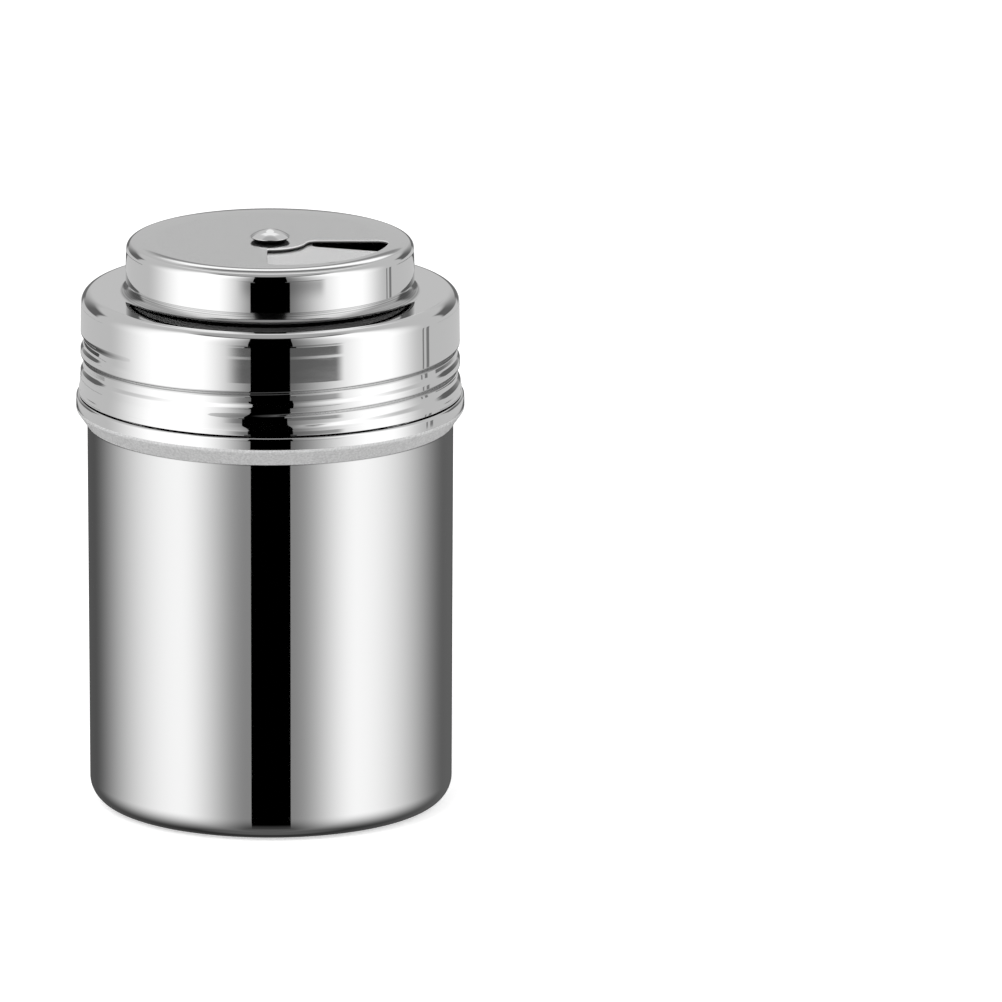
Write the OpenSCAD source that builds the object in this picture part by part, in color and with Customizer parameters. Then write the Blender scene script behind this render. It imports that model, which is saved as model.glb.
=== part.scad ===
// Table shaker for spices: a drawn can, a screw lid with a perforated top, and a
// turning dial that one rivet holds on the lid. Turning the dial sets its window over
// the closed quarter, the pour slot, the fine holes or the coarse holes.
// Millimetres. The origin is the centre of the base, +Z is up, the front faces -Y.

/* [Can] */
// Outside diameter of the can's straight wall
can_d = 65; // [50:0.5:80]
// Height of the straight wall, from the base to the stop bead's cone
can_wall_h = 69.4; // [40:0.2:120]
// Sheet thickness of the can
can_sheet = 0.5; // [0.4:0.05:0.7]
// Outside radius of the corner between the base and the wall
base_corner_r = 4.5; // [2:0.25:8]
// How far the neck stands inside the straight wall
neck_inset = 0.2; // [0.1:0.05:0.5]
// Radius of the wire-like curl around the mouth
mouth_curl_r = 0.7; // [0.5:0.05:1]

/* [Stop bead] */
// How far the bead stands out past the straight wall
bead_out = 2.15; // [1.8:0.05:3]
// Height of the cone under the bead
bead_cone_h = 2.8; // [2:0.1:5]
// Height of the bead's upright band
bead_band_h = 2.2; // [1.6:0.1:4]
// Radius of the bead's upper edge
bead_edge_r = 0.45; // [0.3:0.05:0.7]

/* [Lid] */
// Outside diameter of the lid's skirt
lid_d = 67.8; // [67.4:0.1:69]
// Height of the skirt, from the hem to the flat ring on top
skirt_h = 18.35; // [17:0.1:30]
// Sheet thickness of the lid
lid_sheet = 0.5; // [0.4:0.05:0.6]
// How far the hem flares out past the skirt
hem_flare = 0.25; // [0:0.05:0.5]
// Height over which the hem flares
hem_flare_h = 3.3; // [2:0.1:5]
// Radius of the shoulder between the skirt and the flat ring
lid_shoulder_r = 2.2; // [1.2:0.1:3]
// Radius of the hollow fillet at the foot of the hub
hub_fillet_r = 2.2; // [1:0.1:3]
// Outside diameter of the raised hub that the dial turns on
hub_d = 50; // [44:0.5:54]
// Height of the hub's top plate above the flat ring
hub_h = 8.5; // [7:0.1:14]
// Radius of the edge of the hub's top plate
hub_edge_r = 1.5; // [1.3:0.1:2.5]
// Height of the hem above the can's stop bead
hem_gap = 0.3; // [0.2:0.05:0.8]
// Height of the flat ring's underside above the can's mouth
mouth_gap = 0.25; // [0.15:0.05:0.6]

/* [Thread] */
// Rise of the rolled thread in one turn
thread_pitch = 4; // [3.5:0.1:5]
// Depth of the groove rolled into the lid
lid_groove_depth = 0.55; // [0.4:0.05:0.65]
// Height of the ridge rolled out of the can's neck
neck_ridge_h = 0.85; // [0.6:0.05:0.95]
// Width of the groove and of the ridge, along the axis
thread_width = 2.4; // [1.8:0.1:2.6]
// Height of the lid's groove above the hem, where the groove starts
thread_start_h = 2.3; // [2:0.1:4]
// Angle around the lid where the groove starts, 0 at +X
thread_start_angle = -110; // [-180:5:180]
// Angle through which the lid's groove runs
lid_thread_sweep = 695; // [360:5:720]
// Angle through which the neck's ridge runs
neck_thread_sweep = 660; // [360:5:720]
// Angle over which each end of the thread fades out
thread_fade = 35; // [20:5:90]

/* [Dial] */
// Sheet thickness of the dial
dial_sheet = 0.5; // [0.4:0.05:0.7]
// Height of the dial, from its lower edge to its flat top
dial_h = 7.1; // [4:0.1:7.5]
// Radius of the dial's shoulder
dial_shoulder_r = 1.4; // [1:0.1:1.8]
// Diameter of the flat part of the dial's top
dial_flat_d = 41.2; // [38:0.2:43]
// Radius of the gentle crown between the flat part and the shoulder
dial_crown_r = 46; // [30:1:80]
// Running gap between the dial's wall and the hub
dial_wall_gap = 0.3; // [0.2:0.05:0.6]
// Height of the dial's underside above the hub's top plate
dial_plate_gap = 0.2; // [0.05:0.05:0.3]
// Radius of the window's inner edge, around the rivet
window_inner_r = 6.6; // [5:0.1:9]
// Radius of the window's outer edge, around its own centre
window_outer_r = 18.8; // [14:0.1:19]
// How far the centre of the outer edge lies to the right of the rivet
window_outer_shift = 2.5; // [0:0.25:3]
// Distance of the window's far edge behind the rivet
window_far_y = 0; // [-0.5:0.05:3]
// Distance of the window's left edge left of the rivet
window_left_x = 0.45; // [0:0.05:3]
// Radius of the window's wide corners
window_corner_r = 2; // [0.6:0.1:2.5]
// Radius of the window's sharp corner
window_sharp_r = 0.4; // [0.3:0.05:1]

/* [Shaker plate] */
// Angle of the first edge of the pour slot, 0 at +X
slot_start_angle = -17; // [-25:1:0]
// Angle between the two edges of the pour slot
slot_sweep = 76; // [40:1:80]
// Radius of the pour slot's inner edge
slot_inner_r = 7.6; // [7:0.2:12]
// Radius of the pour slot's outer edge
slot_outer_r = 21.2; // [16:0.2:22]
// Radius of the pour slot's corners
slot_corner_r = 1.5; // [0.5:0.1:2]
// Diameter of the fine holes
fine_hole_d = 1.6; // [1:0.1:1.8]
// Diameter of the coarse holes
coarse_hole_d = 3.2; // [2.2:0.1:3.6]

/* [Rivet] */
// Diameter of the rivet's shank
shank_d = 3.6; // [2.8:0.1:4.4]
// Running clearance around the shank
shank_clearance = 0.05; // [0.02:0.01:0.09]
// Diameter of the rivet's head
head_d = 7; // [6.4:0.1:9]
// Height of the head's rim above the dial
head_rim_h = 0.7; // [0.2:0.05:1]
// Height of the head's dome above its rim
head_dome_h = 1.4; // [1:0.1:2]
// Diameter of the seat under the head
head_seat_d = 4.8; // [4.6:0.1:6]
// Diameter of the peened tail
tail_d = 5.8; // [5:0.1:8]
// Height of the peened tail
tail_h = 1.1; // [0.8:0.1:2]
// Play left between two faces that rub
seat_play = 0.05; // [0.02:0.01:0.1]

/* [Washers] */
// Diameter of the dished spring washer
spring_d = 11; // [9:0.5:13]
// Sheet thickness of the spring washer
spring_sheet = 0.3; // [0.2:0.05:0.4]
// Depth of the spring washer's dish
spring_dish = 0.6; // [0.3:0.1:1]
// Diameter of the flat tail washer
tail_washer_d = 9; // [7:0.5:12]
// Thickness of the flat tail washer
tail_washer_t = 0.5; // [0.4:0.05:0.8]

/* [Hidden] */
$fn = 96;
arc_steps = 6;           // chords in each quarter of a rounded profile
ring_steps = 72;         // columns around a threaded wall
row_h = 0.5;             // height of one row of a threaded wall
overlap = 0.3;           // how far a threaded wall runs into the plain sheet
tuck = 0.1;              // how far it stands back from that sheet's two faces

// The can, from the base up
can_r = can_d / 2;
bead_r = can_r + bead_out;
bead_band_z = can_wall_h + bead_cone_h;
bead_edge_z = bead_band_z + bead_band_h;
bead_top_z = bead_edge_z + bead_edge_r;
neck_r = can_r - neck_inset;

// The lid, from the hem up
lid_r = lid_d / 2;
hem_z = bead_top_z + hem_gap;
ring_z = hem_z + skirt_h;
plate_z = ring_z + hub_h;
hub_r = hub_d / 2;
mouth_z = ring_z - lid_sheet - mouth_gap;

// The rolled thread: the neck's ridge lies half a pitch above the lid's groove
lid_thread_z = hem_z + thread_start_h;
neck_thread_lag = 50;
neck_thread_angle = thread_start_angle + neck_thread_lag;
neck_thread_z = lid_thread_z + thread_pitch * (0.5 + neck_thread_lag / 360);
lid_thread_top = thread_top(lid_thread_z, lid_thread_sweep);
neck_thread_top = thread_top(neck_thread_z, neck_thread_sweep);
neck_thread_foot = bead_top_z + 1;

// The dial and the rivet, from the hub's plate up
dial_r = hub_r + dial_wall_gap + dial_sheet;
dial_top_z = plate_z + dial_plate_gap + dial_sheet;
shank_r = shank_d / 2;
shank_hole_r = shank_r + shank_clearance;
head_r = head_d / 2;
seat_z = dial_top_z + seat_play;
rim_z = dial_top_z + head_rim_h;

// The washers, from the hub's plate down
spring_top_z = plate_z - lid_sheet - seat_play;
spring_foot_z = spring_top_z - spring_dish - spring_sheet;
tail_washer_top_z = spring_foot_z - seat_play;
tail_top_z = tail_washer_top_z - tail_washer_t - seat_play;

// Points on an arc, from angle a to angle b
function arc(c, r, a, b, n = arc_steps) =
    [for (i = [0:n]) let (t = a + (b - a) * i / n) [c.x + r * cos(t), c.y + r * sin(t)]];

// Unit vector to the left of the way from p to q
function left_of(p, q) = let (d = q - p) [-d.y, d.x] / norm(d);

// Point i of a path, moved by t to the left of the path
function moved(path, i, t) =
    let (last = len(path) - 1,
         a = left_of(path[max(i - 1, 0)], path[max(i, 1)]),
         b = left_of(path[min(i, last - 1)], path[min(i + 1, last)]))
    path[i] + t * (a + b) / (1 + a * b);

// Closed outline of a sheet t thick, whose outer face follows the path
function sheet(path, t) =
    concat(path, [for (i = [len(path) - 1:-1:0]) moved(path, i, t)]);

// A share that runs smoothly from 0 to 1
function smooth(t) = let (u = min(1, max(0, t))) u * u * (3 - 2 * u);

// Highest point of a thread that starts at z and runs through an angle
function thread_top(z, sweep) = z + thread_pitch * sweep / 360 + thread_width / 2;

// Height from 0 to 1 of a rolled thread at height z and angle a
function thread_at(z, a, z0, a0, sweep) =
    max([for (turn = [-1:3])
        let (t = a + 360 * turn - a0,
             off = (z - z0 - thread_pitch * t / 360) / thread_width,
             fade = smooth(t / thread_fade) * smooth((sweep - t) / thread_fade))
        abs(off) < 0.5 ? fade * (0.5 + 0.5 * cos(360 * off)) : 0]);

// Two triangles that fill a four-cornered patch
function patch(a, b, c, d) = [[a, b, c], [a, c, d]];

// Sheet wall around the axis: radii[j] gives the heights z and, by angle, both radii
module wall_mesh(zs, outer, inner) {
    n = ring_steps;
    m = len(zs);
    out = function (j, i) j * n + i % n;
    in = function (j, i) (m + j) * n + i % n;
    points = [for (side = [outer, inner]) for (z = zs) for (i = [0:n - 1])
        let (a = 360 * i / n, r = side(z, a)) [r * cos(a), r * sin(a), z]];
    sides = [for (j = [0:m - 2]) for (i = [0:n - 1]) each concat(
        patch(out(j, i), out(j + 1, i), out(j + 1, i + 1), out(j, i + 1)),
        patch(in(j, i), in(j, i + 1), in(j + 1, i + 1), in(j + 1, i)))];
    ends = [for (i = [0:n - 1]) each concat(
        patch(out(0, i), out(0, i + 1), in(0, i + 1), in(0, i)),
        patch(out(m - 1, i), in(m - 1, i), in(m - 1, i + 1), out(m - 1, i + 1)))];
    polyhedron(points, concat(sides, ends));
}

// Rows of a threaded wall from z0 to z1
function rows(z0, z1) =
    let (n = ceil((z1 - z0) / row_h)) [for (j = [0:n]) z0 + (z1 - z0) * j / n];

// The neck between the bead and the mouth, with its ridge. Both ends are tucked into
// the plain sheet, which stops at z0 and goes on at z1.
module threaded_neck(z0, z1) {
    tucked = function (z) z < z0 + tuck || z > z1 - tuck ? tuck : 0;
    ridge = function (z, a) neck_ridge_h
        * thread_at(z, a, neck_thread_z, neck_thread_angle, neck_thread_sweep);
    zs = concat([z0 - overlap, z0], rows(z0 + 2 * tuck, z1 - 2 * tuck), [z1, z1 + overlap]);
    wall_mesh(zs,
        function (z, a) neck_r + ridge(z, a) - tucked(z),
        function (z, a) neck_r - can_sheet + ridge(z, a) + tucked(z));
}

// The can's sheet from the base to the neck
module can_shell() {
    path = concat(
        [[0, 0]],
        arc([can_r - base_corner_r, base_corner_r], base_corner_r, -90, 0),
        [[can_r, can_wall_h], [bead_r, bead_band_z]],
        arc([bead_r - bead_edge_r, bead_edge_z], bead_edge_r, 0, 90, 3),
        [[neck_r, bead_top_z], [neck_r, neck_thread_foot]]);
    rotate_extrude() polygon(sheet(path, can_sheet));
}

// The can's sheet from the end of the ridge to the curled mouth
module can_mouth() {
    foot = neck_thread_top + row_h;
    rotate_extrude() union() {
        translate([neck_r - can_sheet, foot])
            square([can_sheet, mouth_z - mouth_curl_r - foot]);
        translate([neck_r - mouth_curl_r, mouth_z - mouth_curl_r]) circle(mouth_curl_r);
    }
}

module can_body() {
    color("silver") union() {
        can_shell();
        threaded_neck(neck_thread_foot, neck_thread_top + row_h);
        can_mouth();
    }
}

// The lid's skirt from the hem to the plain sheet, with its groove
module threaded_skirt(z1) {
    tucked = function (z) z > z1 - tuck ? tuck : 0;
    flare = function (z) hem_flare * (1 - smooth((z - hem_z) / hem_flare_h));
    groove = function (z, a) lid_groove_depth
        * thread_at(z, a, lid_thread_z, thread_start_angle, lid_thread_sweep);
    zs = concat(rows(hem_z, z1 - 2 * tuck), [z1, z1 + overlap]);
    wall_mesh(zs,
        function (z, a) lid_r + flare(z) - groove(z, a) - tucked(z),
        function (z, a) lid_r - lid_sheet + flare(z) - groove(z, a) + tucked(z));
}

// The lid's sheet from the skirt, over the shoulder and the ring, to the hub's plate
module lid_shell(z0) {
    path = concat(
        [[lid_r, z0]],
        arc([lid_r - lid_shoulder_r, ring_z - lid_shoulder_r], lid_shoulder_r, 0, 90),
        arc([hub_r + hub_fillet_r, ring_z + hub_fillet_r], hub_fillet_r, 270, 180),
        arc([hub_r - hub_edge_r, plate_z - hub_edge_r], hub_edge_r, 0, 90),
        [[shank_hole_r, plate_z]]);
    rotate_extrude() polygon(sheet(path, lid_sheet));
}

// Outline of the pour slot: a ring sector with rounded corners
function slot_outline() =
    let (a = slot_start_angle,
         b = slot_start_angle + slot_sweep,
         c = slot_corner_r,
         far = slot_outer_r - c,
         near = slot_inner_r + c,
         far_turn = asin(c / far),
         near_turn = asin(c / near))
    concat(
        arc(far * [cos(a + far_turn), sin(a + far_turn)], c, a - 90, a + far_turn),
        arc([0, 0], slot_outer_r, a + far_turn, b - far_turn, 2 * arc_steps),
        arc(far * [cos(b - far_turn), sin(b - far_turn)], c, b - far_turn, b + 90),
        arc(near * [cos(b - near_turn), sin(b - near_turn)], c, b + 90, b + 180 - near_turn),
        arc([0, 0], slot_inner_r, b - near_turn, a + near_turn, arc_steps),
        arc(near * [cos(a + near_turn), sin(a + near_turn)], c, a + near_turn - 180, a - 90));

// Holes in rings: each ring is [radius, number of holes], centred on angle mid
module hole_rings(rings, mid, hole_d) {
    zone = 90;
    margin = 9;
    for (ring = rings) for (i = [0:ring[1] - 1]) {
        step = (zone - 2 * margin) / (ring[1] - 1);
        rotate(mid - zone / 2 + margin + step * i)
            translate([ring[0], 0, plate_z - 2 * lid_sheet])
                cylinder(d = hole_d, h = 3 * lid_sheet, $fn = 24);
    }
}

module lid_cap() {
    plain_z = lid_thread_top + row_h;
    slot_mid = slot_start_angle + 45;
    fine_rings = [[8.5, 4], [11.5, 5], [14.5, 7], [17.5, 8], [20.5, 9]];
    coarse_rings = [[9.5, 3], [14.5, 4], [19.5, 5]];
    color("gainsboro") union() {
        threaded_skirt(plain_z);
        difference() {
            lid_shell(plain_z);
            translate([0, 0, plate_z - 2 * lid_sheet])
                linear_extrude(3 * lid_sheet) polygon(slot_outline());
            hole_rings(fine_rings, slot_mid + 90, fine_hole_d);
            hole_rings(coarse_rings, slot_mid + 180, coarse_hole_d);
        }
    }
}

// Outline of the dial's window: a quarter with one straight edge to the left, one
// behind, a hollow edge around the rivet and a round edge outside
function window_outline() =
    let (c = window_corner_r,
         s = window_sharp_r,
         o = [window_outer_shift, 0],
         right_y = window_far_y - c,
         right = [o.x + sqrt(pow(window_outer_r - c, 2) - right_y * right_y), right_y],
         inner = [sqrt(pow(window_inner_r + c, 2) - right_y * right_y), right_y],
         sharp_x = s - window_left_x,
         sharp = [sharp_x, -sqrt(pow(window_inner_r + s, 2) - sharp_x * sharp_x)],
         left_x = c - window_left_x,
         left = [left_x, -sqrt(pow(window_outer_r - c, 2) - pow(left_x - o.x, 2))],
         right_turn = angle_of(right - o),
         left_turn = angle_of(left - o),
         inner_turn = angle_of(inner),
         sharp_turn = angle_of(sharp))
    concat(
        arc(left, c, -180, left_turn),
        arc(o, window_outer_r, left_turn, right_turn, 2 * arc_steps),
        arc(right, c, right_turn, 90),
        arc(inner, c, 90, 180 + inner_turn),
        arc([0, 0], window_inner_r, inner_turn, sharp_turn, 2 * arc_steps),
        arc(sharp, s, 180 + sharp_turn, 180));

// Angle of a vector, from -180 to 180
function angle_of(v) = atan2(v.y, v.x);

module turning_dial() {
    flat_r = dial_flat_d / 2;
    shoulder_x = dial_r - dial_shoulder_r;
    crown_z = dial_top_z - dial_crown_r;
    reach = dial_crown_r - dial_shoulder_r;
    crown_turn = asin((shoulder_x - flat_r) / reach);
    shoulder_z = crown_z + reach * cos(crown_turn);
    path = concat(
        [[dial_r, dial_top_z - dial_h]],
        arc([shoulder_x, shoulder_z], dial_shoulder_r, 0, 90 - crown_turn),
        arc([flat_r, crown_z], dial_crown_r, 90 - crown_turn / 2, 90, 1),
        [[shank_hole_r, dial_top_z]]);
    color("lightgray") difference() {
        rotate_extrude() polygon(sheet(path, dial_sheet));
        translate([0, 0, dial_top_z - 2 * dial_sheet])
            linear_extrude(3 * dial_sheet) polygon(window_outline());
    }
}

module rivet() {
    dome_r = (head_r * head_r + head_dome_h * head_dome_h) / (2 * head_dome_h);
    dome_turn = asin(head_r / dome_r);
    head = concat(
        [[0, tail_top_z - tail_h], [tail_d / 4, tail_top_z - tail_h]],
        [[tail_d / 2, tail_top_z - tail_h / 2], [tail_d / 2, tail_top_z]],
        [[shank_r, tail_top_z], [shank_r, seat_z], [head_seat_d / 2, seat_z]],
        arc([0, rim_z + head_dome_h - dome_r], dome_r, 90 - dome_turn, 90, 2 * arc_steps));
    color("whitesmoke") rotate_extrude() polygon(head);
}

module spring_washer() {
    r = shank_hole_r;
    foot = spring_foot_z;
    color("slategray") rotate_extrude() polygon([
        [r, foot], [r, foot + spring_sheet],
        [spring_d / 2, spring_top_z], [spring_d / 2, spring_top_z - spring_sheet]]);
}

module tail_washer() {
    color("dimgray") rotate_extrude()
        translate([shank_hole_r, tail_washer_top_z - tail_washer_t])
            square([tail_washer_d / 2 - shank_hole_r, tail_washer_t]);
}

can_body();
lid_cap();
turning_dial();
rivet();
spring_washer();
tail_washer();
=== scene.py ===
"""A polished steel spice shaker on a pale floor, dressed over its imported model."""
import math

import bpy
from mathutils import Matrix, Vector


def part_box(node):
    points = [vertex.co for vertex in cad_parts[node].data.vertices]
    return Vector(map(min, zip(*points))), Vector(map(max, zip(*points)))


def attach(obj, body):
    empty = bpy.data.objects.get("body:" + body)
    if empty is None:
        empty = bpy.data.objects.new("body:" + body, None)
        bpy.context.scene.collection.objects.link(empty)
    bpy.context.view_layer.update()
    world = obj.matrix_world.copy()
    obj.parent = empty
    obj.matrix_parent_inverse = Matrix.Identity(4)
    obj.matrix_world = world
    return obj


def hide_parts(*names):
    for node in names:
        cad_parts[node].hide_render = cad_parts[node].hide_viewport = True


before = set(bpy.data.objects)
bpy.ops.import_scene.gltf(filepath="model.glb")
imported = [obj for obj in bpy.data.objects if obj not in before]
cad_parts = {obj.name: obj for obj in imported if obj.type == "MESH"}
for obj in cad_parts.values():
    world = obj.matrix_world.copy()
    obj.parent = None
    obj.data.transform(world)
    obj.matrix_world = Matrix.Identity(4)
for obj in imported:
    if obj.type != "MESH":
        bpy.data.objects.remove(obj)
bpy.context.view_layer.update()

MM = 0.001

# Sizes in millimetres. What the frame knows is read from it.
can_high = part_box("can_body")[1]
lid_low, lid_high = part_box("lid_cap")
dial_low, dial_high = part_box("turning_dial")
rivet_low, rivet_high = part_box("rivet")

SHEET = 0.5
CAN_R = 32.5
CAN_TAPER = 0.16
CAN_WALL_H = 69.4
BASE_CORNER_R = 4.5
BEAD_R = can_high.x / MM
BEAD_CONE_H = 2.8
BEAD_EDGE_R = 0.55
BEAD_TOP_Z = 74.85
FROST_TOP_Z = 72.7
BEAD_LEAN = 0.011
NECK_R = 32.3
MOUTH_Z = can_high.z / MM
MOUTH_CURL_R = 0.7

LID_R = 33.9
HEM_Z = lid_low.z / MM
HEM_FLARE = 0.25
HEM_FLARE_H = 3.3
HEM_ROLL_H = 0.85
HEM_ROLL_OUT = 0.06
SKIRT_DRAFT = 0.1
BELT_LOW_Z = 84.6
BELT_HIGH_Z = 89.1
TOP_BELT_Z = 89.4
BELT_DRAFT = 0.004
RING_Z = 93.5
PLATE_Z = lid_high.z / MM
LID_SHOULDER_R = 2.2
HUB_R = 25.0
HUB_FILLET_R = 2.2
HUB_EDGE_R = 1.5

DIAL_R = dial_high.x / MM
DIAL_FOOT_Z = dial_low.z / MM
DIAL_TOP_Z = dial_high.z / MM
DIAL_SHOULDER_R = 1.4
DIAL_FLAT_R = 20.6
DIAL_CROWN_R = 46.0
DIAL_DRAFT = 0.072
DIAL_BARREL = 0.031

SHANK_R = 1.8
SHANK_HOLE_R = 1.85
HEAD_R = rivet_high.x / MM
HEAD_SEAT_R = 2.4
HEAD_TOP_Z = rivet_high.z / MM
HEAD_DOME_H = 1.4
HEAD_NUB_H = 0.22
HEAD_NUB_R = 1.5
TAIL_Z = rivet_low.z / MM
TAIL_R = 2.9
TAIL_H = 1.1

# The rolled thread
PITCH = 4.0
GROOVE_START_Z = 77.45
GROOVE_START_ANGLE = -110.0
GROOVE_SWEEP = 695.0
GROOVE_WIDTH = 3.1
GROOVE_EDGE = 0.9
GROOVE_DEPTH = 0.5
GROOVE_LEAN = 0.077
RIDGE_START_Z = 80.0056
RIDGE_START_ANGLE = -60.0
RIDGE_SWEEP = 660.0
RIDGE_WIDTH = 2.4
RIDGE_EDGE = 1.2
RIDGE_HEIGHT = 0.85
THREAD_FADE = 35.0

# The window, the pour slot and the holes
WINDOW_INNER_R = 6.6
WINDOW_OUTER_R = 18.8
WINDOW_SHIFT = 2.5
WINDOW_FAR_Y = 0.0
WINDOW_LEFT_X = 0.45
WINDOW_CORNER_R = 2.0
WINDOW_SHARP_R = 0.4
SLOT_START = -17.0
SLOT_SWEEP = 76.0
SLOT_INNER_R = 7.6
SLOT_OUTER_R = 21.2
SLOT_CORNER_R = 1.5
FINE_HOLE_R = 0.8
FINE_RINGS = ((8.5, 4), (11.5, 5), (14.5, 7), (17.5, 8), (20.5, 9))
COARSE_HOLE_R = 1.6
COARSE_RINGS = ((9.5, 3), (14.5, 4), (19.5, 5))
ZONE = 90.0
ZONE_MARGIN = 9.0

# The mesh
TURN_STEPS = 216
ARC_STEP = 9.0
FLANK_ROWS = 9
LAND_ROWS = 4
LID_EDGE_R = 0.1
CAN_EDGE_R = 0.05
DIAL_EDGE_R = 0.21
RIVET_EDGE_R = 0.03
PRESSED_R = 30.0

# The light and the camera, in degrees, metres and pixels
AMBIENT = 0.56
FLOOR_GLOW = 0.45
CAMERA_ELEVATION = 14.15
LID_ELEVATION = 13.85
CAMERA_DISTANCE = 6.0
PIXELS = 1002
PIXELS_PER_MM = 5.6
AXIS_PIXEL_X = 270.5
BASE_PIXEL_Y = 798.0


# ---------------------------------------------------------------- outlines

def arc(cx, cz, r, start, end, step=ARC_STEP):
    """Points on an arc in the plane of a profile or of the plate, in degrees."""
    count = max(2, math.ceil(abs(end - start) / step))
    angles = (math.radians(start + (end - start) * i / count) for i in range(count + 1))
    return [(cx + r * math.cos(a), cz + r * math.sin(a)) for a in angles]


def line(start, end, step):
    """Points from start up to end, without end, at most a step apart."""
    length = math.dist(start, end)
    count = max(1, math.ceil(length / step))
    return [(start[0] + (end[0] - start[0]) * i / count,
             start[1] + (end[1] - start[1]) * i / count) for i in range(count)]


def rounded(points, radius, step=ARC_STEP):
    """An open path with its inner corners rounded."""
    path = [points[0]]
    for before, corner, after in zip(points, points[1:], points[2:]):
        a = Vector(before) - Vector(corner)
        b = Vector(after) - Vector(corner)
        half = a.angle(b) / 2
        reach = radius / math.tan(half)
        inwards = (a.normalized() + b.normalized()).normalized()
        centre = Vector(corner) + inwards * radius / math.sin(half)
        first = Vector(corner) + a.normalized() * reach - centre
        turn = first.angle_signed(Vector(corner) + b.normalized() * reach - centre)
        count = max(2, math.ceil(math.degrees(abs(turn)) / step))
        start = math.atan2(first.y, first.x)
        path += [(centre.x + radius * math.cos(start - turn * i / count),
                  centre.y + radius * math.sin(start - turn * i / count)) for i in range(count + 1)]
    return path + [points[-1]]


def tidy_path(path):
    """The path without points that lie on top of each other."""
    kept = [path[0]]
    for point in path[1:]:
        if math.dist(point, kept[-1]) > 0.002:
            kept.append(point)
    return kept


def sheet_outline(path, thickness=SHEET):
    """Closed outline of a sheet whose outer face follows the path."""
    path = tidy_path(path)
    inner = []
    for i, here in enumerate(path):
        before = path[max(i - 1, 0)]
        after = path[min(i + 1, len(path) - 1)]
        sides = []
        for p, q in ((before, here), (here, after)):
            length = math.dist(p, q)
            if length > 0:
                sides.append(Vector((p[1] - q[1], q[0] - p[0])) / length)
        if len(sides) == 1:
            sides.append(sides[0])
        shift = (sides[0] + sides[1]) / (1 + sides[0].dot(sides[1]))
        inner.append((max(0.0, here[0] + shift.x * thickness), here[1] + shift.y * thickness))
    return path + inner[::-1]


# ---------------------------------------------------------------- modelling

def active(name):
    """The object just made, renamed and left alone in the selection."""
    piece = bpy.context.object
    piece.name = piece.data.name = name
    return piece


def edit(piece):
    """Opens a piece in edit mode with nothing else selected."""
    bpy.ops.object.select_all(action="DESELECT")
    piece.select_set(True)
    bpy.context.view_layer.objects.active = piece
    bpy.ops.object.mode_set(mode="EDIT")
    bpy.ops.mesh.select_all(action="DESELECT")


def leave_edit():
    bpy.ops.object.mode_set(mode="OBJECT")


def clear_selection(piece):
    """Deselects every point and face of a piece."""
    edit(piece)
    leave_edit()


def draw_outline(name, points):
    """A chain of edges through points given in millimetres, drawn in the plane y = 0."""
    bpy.ops.object.select_all(action="DESELECT")
    bpy.ops.mesh.primitive_plane_add(size=MM)
    piece = active(name)
    edit(piece)
    bpy.ops.mesh.select_all(action="SELECT")
    bpy.ops.mesh.merge(type="CENTER")
    x, z = points[0]
    bpy.ops.transform.translate(value=(x * MM, 0, z * MM))
    for next_x, next_z in points[1:]:
        step = ((next_x - x) * MM, 0, (next_z - z) * MM)
        bpy.ops.mesh.extrude_region_move(TRANSFORM_OT_translate={"value": step})
        x, z = next_x, next_z
    return piece


def turn(name, points, closed=True):
    """A piece turned on the lathe: the outline spun around the Z axis."""
    piece = draw_outline(name, points)
    if closed:
        close_chain(piece)
    bpy.ops.mesh.select_all(action="SELECT")
    bpy.ops.mesh.spin(steps=TURN_STEPS, angle=math.tau, center=(0, 0, 0), axis=(0, 0, 1))
    leave_edit()
    return weld(piece)


def weld(piece):
    """Merges the points that lie on each other and turns the faces outwards."""
    edit(piece)
    bpy.ops.mesh.select_all(action="SELECT")
    bpy.ops.mesh.remove_doubles(threshold=2e-6)
    bpy.ops.mesh.normals_make_consistent(inside=False)
    leave_edit()
    return piece


def close_chain(piece):
    """Joins the two loose ends of the chain being edited."""
    leave_edit()
    uses = [0] * len(piece.data.vertices)
    for e in piece.data.edges:
        for v in e.vertices:
            uses[v] += 1
    clear_selection(piece)
    for v in piece.data.vertices:
        v.select = uses[v.index] == 1
    bpy.ops.object.mode_set(mode="EDIT")
    bpy.ops.mesh.edge_face_add()


def thread_rows(width, edge):
    """Heights across one pitch of a rolled thread, close together on its two flanks."""
    marks = (-PITCH / 2, -width / 2, edge - width / 2, width / 2 - edge, width / 2, PITCH / 2)
    counts = (LAND_ROWS, FLANK_ROWS, LAND_ROWS, FLANK_ROWS, LAND_ROWS)
    rows = []
    for low, high, count in zip(marks, marks[1:], counts):
        rows += [low + (high - low) * i / count for i in range(count)]
    return rows + [marks[-1]]


def threaded_wall(name, radius_at, low, high, middle, rows):
    """A plain wall whose rows of points climb with a thread: one pitch of rows, screwed down
    around the axis and trimmed level at both ends. The thread's middle passes the given
    height at angle 0."""
    start = middle + PITCH * math.ceil((high - middle) / PITCH + 0.5)
    turns = math.ceil((start - low) / PITCH) + 1
    wall = draw_outline(name, [(LID_R, start + row) for row in rows])
    bpy.ops.mesh.select_all(action="SELECT")
    bpy.ops.mesh.screw(steps=TURN_STEPS, turns=turns, center=(0, 0, 0), axis=(0, 0, -1))
    leave_edit()
    for v in wall.data.vertices:
        z = min(high, max(low, v.co.z / MM))
        scale = radius_at(z) * MM / math.hypot(v.co.x, v.co.y)
        v.co = (v.co.x * scale, v.co.y * scale, z * MM)
    return wall


def thicken(piece, thickness=SHEET):
    """Gives a skin the thickness of its sheet, on the inside."""
    apply_modifier(piece, "SOLIDIFY", thickness=thickness * MM, offset=-1, use_even_offset=True)


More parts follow.
